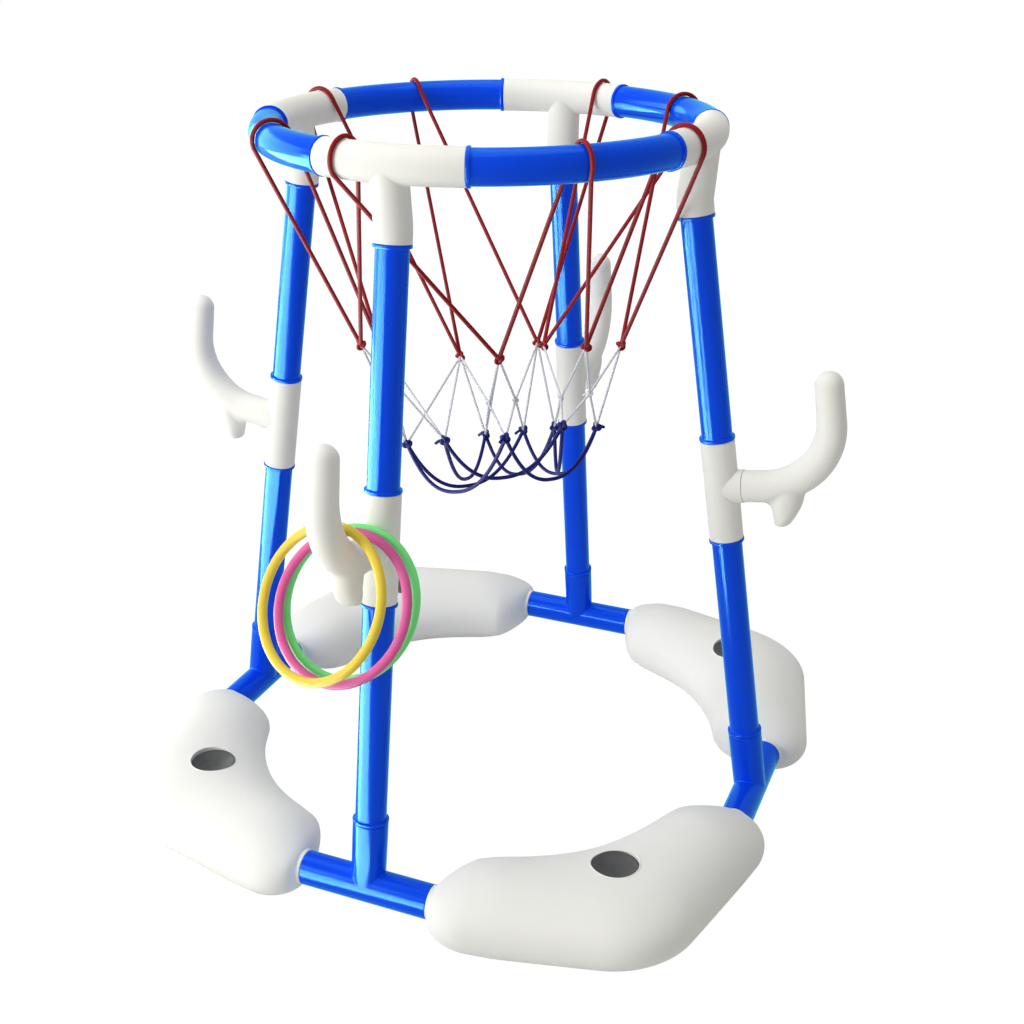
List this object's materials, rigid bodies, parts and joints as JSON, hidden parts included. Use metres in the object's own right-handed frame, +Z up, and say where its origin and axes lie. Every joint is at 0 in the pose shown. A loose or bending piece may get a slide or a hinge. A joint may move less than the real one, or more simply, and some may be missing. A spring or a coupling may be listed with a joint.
{
  "type": "pool basketball hoop",
  "caption": "Floating pool basketball hoop: a float base, leaning legs with upturned hooks, a round hoop with a cord net, and toss rings.",
  "frame": {"origin": "on the hoop's upright centre line, level with the floats' undersides", "axes": "+Z up through the hoop; -Y towards the leg that carries the toss rings, +X towards the leg on its right"},
  "size_m": [0.6892, 0.7166, 0.6994],
  "materials": {
    "blue_plastic": "gloss",
    "white_plastic": "satin",
    "dark_rubber": "matte",
    "red_cord": "twisted cord",
    "white_cord": "twisted cord",
    "navy_cord": "twisted cord",
    "yellow_plastic": "gloss",
    "pink_plastic": "gloss",
    "green_plastic": "gloss"
  },
  "bodies": {
    "frame": {"base_tee_front": "blue_plastic", "lower_tube_front": "blue_plastic", "upper_tube_front": "blue_plastic", "top_tee_front": "white_plastic", "base_tee_right": "blue_plastic", "lower_tube_right": "blue_plastic", "upper_tube_right": "blue_plastic", "top_tee_right": "white_plastic", "base_tee_back": "blue_plastic", "lower_tube_back": "blue_plastic", "upper_tube_back": "blue_plastic", "top_tee_back": "white_plastic", "base_tee_left": "blue_plastic", "lower_tube_left": "blue_plastic", "upper_tube_left": "blue_plastic", "top_tee_left": "white_plastic", "float_back_right": "white_plastic", "hoop_arc_back_right": "blue_plastic", "float_back_left": "white_plastic", "hoop_arc_back_left": "blue_plastic", "float_front_left": "white_plastic", "hoop_arc_front_left": "blue_plastic", "float_front_right": "white_plastic", "hoop_arc_front_right": "blue_plastic", "net_red_1": "red_cord", "net_red_2": "red_cord", "net_red_3": "red_cord", "net_red_4": "red_cord", "net_red_5": "red_cord", "net_red_6": "red_cord", "net_red_7": "red_cord", "net_red_8": "red_cord", "net_white": "white_cord", "net_navy_1": "navy_cord", "net_navy_2": "navy_cord", "net_navy_3": "navy_cord", "net_navy_4": "navy_cord", "net_navy_5": "navy_cord", "net_navy_6": "navy_cord", "net_navy_7": "navy_cord", "net_navy_8": "navy_cord"},
    "swivel_front": {"connector_front": "white_plastic", "hook_front": "white_plastic"},
    "swivel_right": {"connector_right": "white_plastic", "hook_right": "white_plastic"},
    "swivel_back": {"connector_back": "white_plastic", "hook_back": "white_plastic"},
    "swivel_left": {"connector_left": "white_plastic", "hook_left": "white_plastic"},
    "ring_yellow": {"toss_ring_yellow": "yellow_plastic"},
    "ring_pink": {"toss_ring_pink": "pink_plastic"},
    "ring_green": {"toss_ring_green": "green_plastic"},
    "bung_body_back_right": {"bung_back_right": "dark_rubber"},
    "bung_body_back_left": {"bung_back_left": "dark_rubber"},
    "bung_body_front_left": {"bung_front_left": "dark_rubber"},
    "bung_body_front_right": {"bung_front_right": "dark_rubber"}
  },
  "joints": [
    {"name": "hook_swivel_front", "type": "hinge", "parent": "frame", "child": "swivel_front", "pos_m": [0, -0.236, 0.3647], "axis": [0, 0.1522, 0.9883], "continuous": true},
    {"name": "hook_swivel_right", "type": "hinge", "parent": "frame", "child": "swivel_right", "pos_m": [0.236, 0, 0.3647], "axis": [-0.1522, 0, 0.9883], "continuous": true},
    {"name": "hook_swivel_back", "type": "hinge", "parent": "frame", "child": "swivel_back", "pos_m": [0, 0.236, 0.3647], "axis": [0, -0.1522, 0.9883], "continuous": true},
    {"name": "hook_swivel_left", "type": "hinge", "parent": "frame", "child": "swivel_left", "pos_m": [-0.236, 0, 0.3647], "axis": [0.1522, 0, 0.9883], "continuous": true},
    {"name": "ring_swing_yellow", "type": "hinge", "parent": "swivel_front", "child": "ring_yellow", "pos_m": [0, -0.31322, 0.38887], "axis": [-0.2703, -0.8318, 0.4848], "range_deg": [-30, 30]},
    {"name": "ring_swing_pink", "type": "hinge", "parent": "swivel_front", "child": "ring_pink", "pos_m": [0, -0.28154, 0.37117], "axis": [-0.1488, -0.8441, 0.515], "range_deg": [-30, 30]},
    {"name": "ring_swing_green", "type": "hinge", "parent": "swivel_front", "child": "ring_green", "pos_m": [0, -0.26873, 0.36893], "axis": [-0.1267, -0.8478, 0.515], "range_deg": [-30, 30]},
    {"name": "bung_pull_back_right", "type": "slide", "parent": "frame", "child": "bung_body_back_right", "axis": [0, 0, 1], "range_m": [0, 0.015]},
    {"name": "bung_pull_back_left", "type": "slide", "parent": "frame", "child": "bung_body_back_left", "axis": [0, 0, 1], "range_m": [0, 0.015]},
    {"name": "bung_pull_front_left", "type": "slide", "parent": "frame", "child": "bung_body_front_left", "axis": [0, 0, 1], "range_m": [0, 0.015]},
    {"name": "bung_pull_front_right", "type": "slide", "parent": "frame", "child": "bung_body_front_right", "axis": [0, 0, 1], "range_m": [0, 0.015]}
  ]
}
